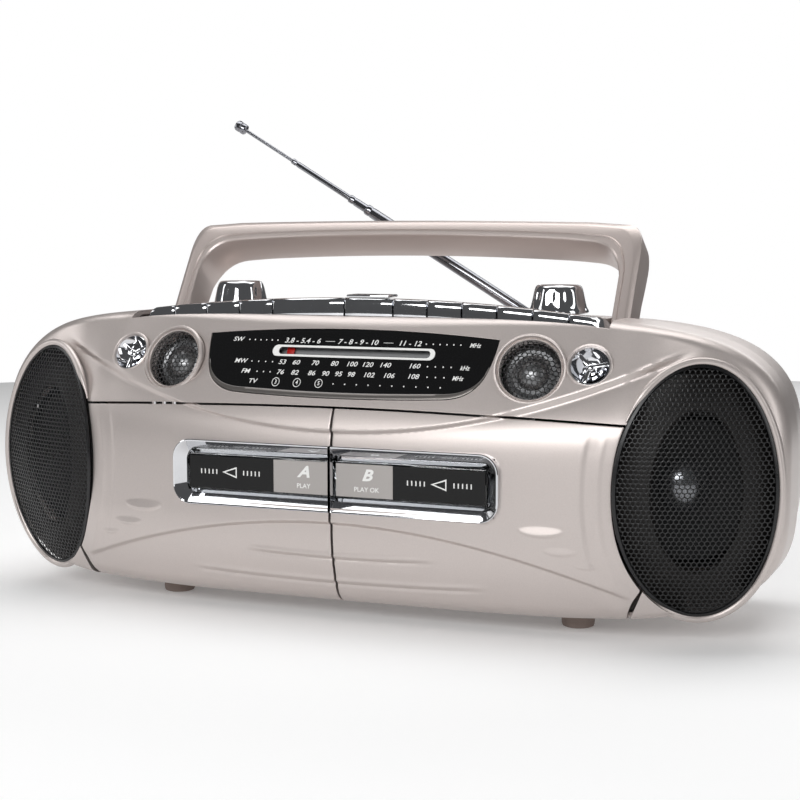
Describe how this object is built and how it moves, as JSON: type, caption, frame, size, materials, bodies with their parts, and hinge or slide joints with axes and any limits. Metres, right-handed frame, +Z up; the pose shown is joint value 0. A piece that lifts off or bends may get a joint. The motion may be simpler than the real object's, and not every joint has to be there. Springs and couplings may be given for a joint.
{
  "type": "boombox",
  "caption": "Portable twin-cassette radio recorder with rounded body, oval speaker grilles, piano keys, folding carrying handle and telescopic aerial.",
  "frame": {"origin": "centre of the overall box, on the plane of the feet", "axes": "+X to the listener's right along the front, +Y to the back, +Z up"},
  "size_m": [0.497, 0.1696, 0.2978],
  "materials": {
    "body_paint": "satin champagne-silver metallic paint on moulded ABS",
    "handle_paint": "satin bronze-silver metallic paint on moulded ABS",
    "chrome": "bright chrome plating",
    "clear_plastic": "clear polished acrylic",
    "black_mesh": "black satin enamel on perforated steel",
    "gloss_black": "gloss black moulded plastic with white print",
    "dark_plastic": "dark matt moulded plastic",
    "paper_cone": "pressed black paper cone with rolled surround",
    "plated_steel": "zinc-plated pressed steel",
    "rubber": "matt grey-brown rubber",
    "circuit_board": "green lacquered circuit board",
    "red_plastic": "bright red moulded plastic"
  },
  "bodies": {
    "chassis": {"battery_tray": "dark_plastic", "dial_scale": "gloss_black", "foot_front_left": "rubber", "foot_front_right": "rubber", "foot_rear_left": "rubber", "foot_rear_right": "rubber", "front_cabinet": "body_paint", "grille_left": "black_mesh", "grille_right": "black_mesh", "key_bed": "body_paint", "key_cover": "chrome", "main_board": "circuit_board", "mains_inlet": "dark_plastic", "rear_cabinet": "body_paint", "reflector_left": "chrome", "reflector_right": "chrome", "tape_mechanism_a": "plated_steel", "tape_mechanism_b": "plated_steel", "transformer": "plated_steel", "tweeter_left": "black_mesh", "tweeter_right": "black_mesh", "tweeter_ring_left": "body_paint", "tweeter_ring_right": "body_paint", "woofer_cone_left": "paper_cone", "woofer_cone_right": "paper_cone", "woofer_frame_left": "plated_steel", "woofer_frame_right": "plated_steel"},
    "door_a": {"cassette_door_a": "body_paint", "bezel_a": "chrome", "window_a": "clear_plastic", "cassette_holder_a": "dark_plastic"},
    "door_b": {"cassette_door_b": "body_paint", "bezel_b": "chrome", "window_b": "clear_plastic", "cassette_holder_b": "dark_plastic"},
    "battery_lid": {"battery_door": "body_paint"},
    "pointer": {"dial_pointer": "red_plastic"},
    "volume": {"volume_knob": "chrome"},
    "tuning": {"tuning_knob": "chrome"},
    "carry_handle": {"handle": "handle_paint"},
    "switch": {"function_switch": "chrome"},
    "aerial_foot": {"aerial_base": "plated_steel"},
    "aerial_mast": {"aerial_tube_1": "chrome"},
    "aerial_second": {"aerial_tube_2": "chrome"},
    "aerial_third": {"aerial_tube_3": "chrome"},
    "aerial_tip": {"aerial_tube_4": "chrome"},
    "key_a1_lever": {"key_a1": "chrome"},
    "key_a2_lever": {"key_a2": "chrome"},
    "key_a3_lever": {"key_a3": "chrome"},
    "key_a4_lever": {"key_a4": "chrome"},
    "key_b1_lever": {"key_b1": "chrome"},
    "key_b2_lever": {"key_b2": "chrome"},
    "key_b3_lever": {"key_b3": "chrome"},
    "key_b4_lever": {"key_b4": "chrome"},
    "key_b5_lever": {"key_b5": "chrome"},
    "key_b6_lever": {"key_b6": "chrome"},
    "spindle_a1_hub": {"spindle_a1": "gloss_black"},
    "spindle_a2_hub": {"spindle_a2": "gloss_black"},
    "spindle_b1_hub": {"spindle_b1": "gloss_black"},
    "spindle_b2_hub": {"spindle_b2": "gloss_black"}
  },
  "joints": [
    {"name": "door_a_hinge", "type": "hinge", "parent": "chassis", "child": "door_a", "pos_m": [0, -0.0622, 0.012], "axis": [1, 0, 0], "range_deg": [0, 32]},
    {"name": "door_b_hinge", "type": "hinge", "parent": "chassis", "child": "door_b", "pos_m": [0, -0.0622, 0.012], "axis": [1, 0, 0], "range_deg": [0, 32]},
    {"name": "battery_door_hinge", "type": "hinge", "parent": "chassis", "child": "battery_lid", "pos_m": [0, 0.0848, 0.034], "axis": [-1, 0, 0], "range_deg": [0, 100]},
    {"name": "tuning_turn", "type": "hinge", "parent": "chassis", "child": "tuning", "pos_m": [0.1046, 0.0124, 0.18], "axis": [0, 0, -1], "range_deg": [-24, 696]},
    {"name": "pointer_slide", "type": "slide", "parent": "chassis", "child": "pointer", "axis": [1, 0, 0], "range_m": [-0.0035, 0.0885]},
    {"name": "volume_turn", "type": "hinge", "parent": "chassis", "child": "volume", "pos_m": [-0.1046, 0.0124, 0.18], "axis": [0, 0, -1], "range_deg": [-140, 140]},
    {"name": "handle_hinge", "type": "hinge", "parent": "chassis", "child": "carry_handle", "pos_m": [0, -0.0022, 0.144], "axis": [1, 0, 0], "range_deg": [0, 32]},
    {"name": "switch_slide", "type": "slide", "parent": "chassis", "child": "switch", "axis": [1, 0, 0], "range_m": [-0.006, 0.006]},
    {"name": "key_a1_press", "type": "hinge", "parent": "chassis", "child": "key_a1_lever", "pos_m": [-0.132, -0.0192, 0.172], "axis": [1, 0, 0], "range_deg": [0, 8], "stiffness_Nm_per_rad": 0.3, "springref_deg": -5.73},
    {"name": "key_a2_press", "type": "hinge", "parent": "chassis", "child": "key_a2_lever", "pos_m": [-0.11, -0.0192, 0.17429], "axis": [1, 0, 0], "range_deg": [0, 8], "stiffness_Nm_per_rad": 0.3, "springref_deg": -5.73},
    {"name": "key_a3_press", "type": "hinge", "parent": "chassis", "child": "key_a3_lever", "pos_m": [-0.088, -0.0192, 0.17617], "axis": [1, 0, 0], "range_deg": [0, 8], "stiffness_Nm_per_rad": 0.3, "springref_deg": -5.73},
    {"name": "key_a4_press", "type": "hinge", "parent": "chassis", "child": "key_a4_lever", "pos_m": [-0.066, -0.0192, 0.17763], "axis": [1, 0, 0], "range_deg": [0, 8], "stiffness_Nm_per_rad": 0.3, "springref_deg": -5.73},
    {"name": "key_b1_press", "type": "hinge", "parent": "chassis", "child": "key_b1_lever", "pos_m": [0.0325, -0.0192, 0.17905], "axis": [1, 0, 0], "range_deg": [0, 8], "stiffness_Nm_per_rad": 0.3, "springref_deg": -5.73},
    {"name": "key_b2_press", "type": "hinge", "parent": "chassis", "child": "key_b2_lever", "pos_m": [0.0535, -0.0192, 0.17827], "axis": [1, 0, 0], "range_deg": [0, 8], "stiffness_Nm_per_rad": 0.3, "springref_deg": -5.73},
    {"name": "key_b3_press", "type": "hinge", "parent": "chassis", "child": "key_b3_lever", "pos_m": [0.0745, -0.0192, 0.17711], "axis": [1, 0, 0], "range_deg": [0, 8], "stiffness_Nm_per_rad": 0.3, "springref_deg": -5.73},
    {"name": "key_b4_press", "type": "hinge", "parent": "chassis", "child": "key_b4_lever", "pos_m": [0.0955, -0.0192, 0.17558], "axis": [1, 0, 0], "range_deg": [0, 8], "stiffness_Nm_per_rad": 0.3, "springref_deg": -5.73},
    {"name": "key_b5_press", "type": "hinge", "parent": "chassis", "child": "key_b5_lever", "pos_m": [0.1165, -0.0192, 0.17366], "axis": [1, 0, 0], "range_deg": [0, 8], "stiffness_Nm_per_rad": 0.3, "springref_deg": -5.73},
    {"name": "key_b6_press", "type": "hinge", "parent": "chassis", "child": "key_b6_lever", "pos_m": [0.1375, -0.0192, 0.17136], "axis": [1, 0, 0], "range_deg": [0, 8], "stiffness_Nm_per_rad": 0.3, "springref_deg": -5.73},
    {"name": "spindle_a1_turn", "type": "hinge", "parent": "chassis", "child": "spindle_a1_hub", "pos_m": [-0.03215, -0.0422, 0.077], "axis": [0, 1, 0], "continuous": true},
    {"name": "spindle_a2_turn", "type": "hinge", "parent": "chassis", "child": "spindle_a2_hub", "pos_m": [-0.07465, -0.0422, 0.077], "axis": [0, 1, 0], "continuous": true},
    {"name": "spindle_b1_turn", "type": "hinge", "parent": "chassis", "child": "spindle_b1_hub", "pos_m": [0.03215, -0.0422, 0.077], "axis": [0, 1, 0], "continuous": true},
    {"name": "spindle_b2_turn", "type": "hinge", "parent": "chassis", "child": "spindle_b2_hub", "pos_m": [0.07465, -0.0422, 0.077], "axis": [0, 1, 0], "continuous": true},
    {"name": "aerial_swivel", "type": "hinge", "parent": "chassis", "child": "aerial_foot", "pos_m": [0.097, 0.0798, 0.152], "axis": [0, 0, -1], "range_deg": [0, 180]},
    {"name": "aerial_tilt", "type": "hinge", "parent": "aerial_foot", "child": "aerial_mast", "pos_m": [0.097, 0.0798, 0.152], "axis": [0, 1, 0], "range_deg": [-31, 59]},
    {"name": "aerial_slide_2", "type": "slide", "parent": "aerial_mast", "child": "aerial_second", "axis": [-0.8572, 0, 0.515], "range_m": [-0.014, 0.12]},
    {"name": "aerial_slide_3", "type": "slide", "parent": "aerial_second", "child": "aerial_third", "axis": [-0.8572, 0, 0.515], "range_m": [-0.048, 0.08]},
    {"name": "aerial_slide_4", "type": "slide", "parent": "aerial_third", "child": "aerial_tip", "axis": [-0.8572, 0, 0.515], "range_m": [-0.035, 0.07]}
  ],
  "couplings": [
    {"joint": "pointer_slide", "follows": "tuning_turn", "m_per_rad": 0.0072}
  ]
}
